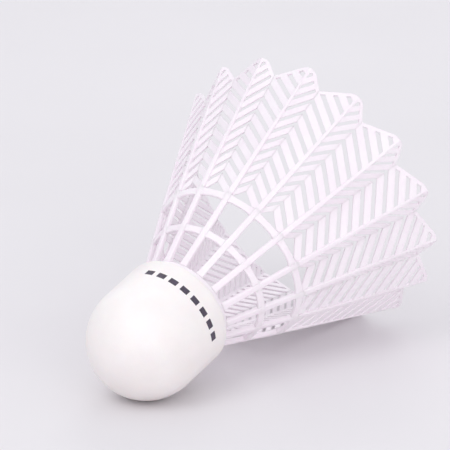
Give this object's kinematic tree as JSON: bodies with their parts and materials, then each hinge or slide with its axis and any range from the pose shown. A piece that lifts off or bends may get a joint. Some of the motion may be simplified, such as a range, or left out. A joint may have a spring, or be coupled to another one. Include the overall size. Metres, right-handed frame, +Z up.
{
  "type": "badminton shuttlecock",
  "caption": "Shuttlecock with a skin-covered cork head glued to a flared nylon skirt of slotted vanes, lying on its side on its nose and two skirt tips.",
  "frame": {"origin": "on the table, under the middle of the part's bounding box", "axes": "+Z up from the table; the shuttle lies on its side with its nose towards -X and the mouth of its skirt towards +X; +Y completes the right-handed frame"},
  "size_m": [0.0834, 0.0656, 0.0627],
  "materials": {
    "nylon": "satin",
    "skin": "satin",
    "cork": "matte",
    "glue": "satin"
  },
  "bodies": {
    "root": {"cork_core": "cork", "head_skin": "skin", "glue_film": "glue", "plug_cup": "nylon", "collar": "nylon", "lower_brace": "nylon", "upper_brace": "nylon", "stem_01": "nylon", "stem_02": "nylon", "stem_03": "nylon", "stem_04": "nylon", "stem_05": "nylon", "stem_06": "nylon", "stem_07": "nylon", "stem_08": "nylon", "stem_09": "nylon", "stem_10": "nylon", "stem_11": "nylon", "stem_12": "nylon", "stem_13": "nylon", "stem_14": "nylon", "stem_15": "nylon", "stem_16": "nylon", "vane_01": "nylon", "vane_02": "nylon", "vane_03": "nylon", "vane_04": "nylon", "vane_05": "nylon", "vane_06": "nylon", "vane_07": "nylon", "vane_08": "nylon", "vane_09": "nylon", "vane_10": "nylon", "vane_11": "nylon", "vane_12": "nylon", "vane_13": "nylon", "vane_14": "nylon", "vane_15": "nylon", "vane_16": "nylon"}
  },
  "joints": []
}
